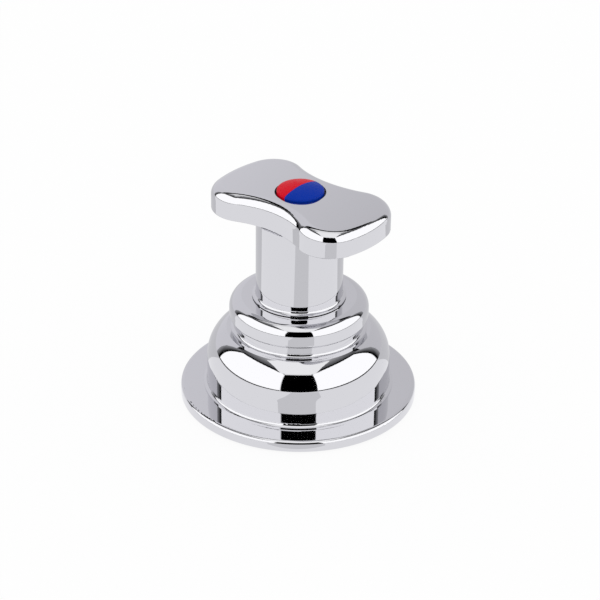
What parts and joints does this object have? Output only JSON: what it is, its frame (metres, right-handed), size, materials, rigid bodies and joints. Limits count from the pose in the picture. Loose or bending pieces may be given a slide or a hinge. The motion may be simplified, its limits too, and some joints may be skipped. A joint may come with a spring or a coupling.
{
  "type": "shower mixer valve",
  "caption": "Wall-mounted shower mixer valve with a stepped round cover, a two-lobed wing handle that turns from off through cold to hot, and a red and blue index button.",
  "frame": {"origin": "centre of the flange's back, on the valve's axis and in the wall plane", "axes": "+Z out of the wall along the valve's axis, +Y up on the wall, +X to the right as seen from the room"},
  "size_m": [0.09, 0.09, 0.0872],
  "materials": {
    "chrome": "polished",
    "brass": "machined",
    "steel": "satin",
    "rubber": "matt",
    "ceramic": "lapped",
    "white_plastic": "moulded",
    "black_plastic": "moulded",
    "red_plastic": "glossy",
    "blue_plastic": "glossy"
  },
  "bodies": {
    "valve": {"wall_flange": "chrome", "wall_gasket": "rubber", "dome_cover": "chrome", "collar_ring": "chrome", "glide_ring": "white_plastic", "valve_body": "brass", "neck_o_ring": "rubber", "inlet_filters": "steel", "port_seals": "rubber", "cartridge_base": "white_plastic", "fixed_disc": "ceramic", "thrust_washer": "white_plastic", "cartridge_housing": "white_plastic", "stop_ring": "white_plastic", "retaining_nut": "brass"},
    "handle": {"moving_disc": "ceramic", "disc_carrier": "white_plastic", "spindle": "brass", "spindle_o_ring": "rubber", "spline_adapter": "brass", "wing_handle": "chrome", "handle_screw": "steel", "index_base": "black_plastic", "index_red": "red_plastic", "index_blue": "blue_plastic"}
  },
  "joints": [
    {"name": "handle_turn", "type": "hinge", "parent": "valve", "child": "handle", "pos_m": [0, 0, 0.06], "axis": [0, 0, 1], "range_deg": [0, 160]}
  ]
}
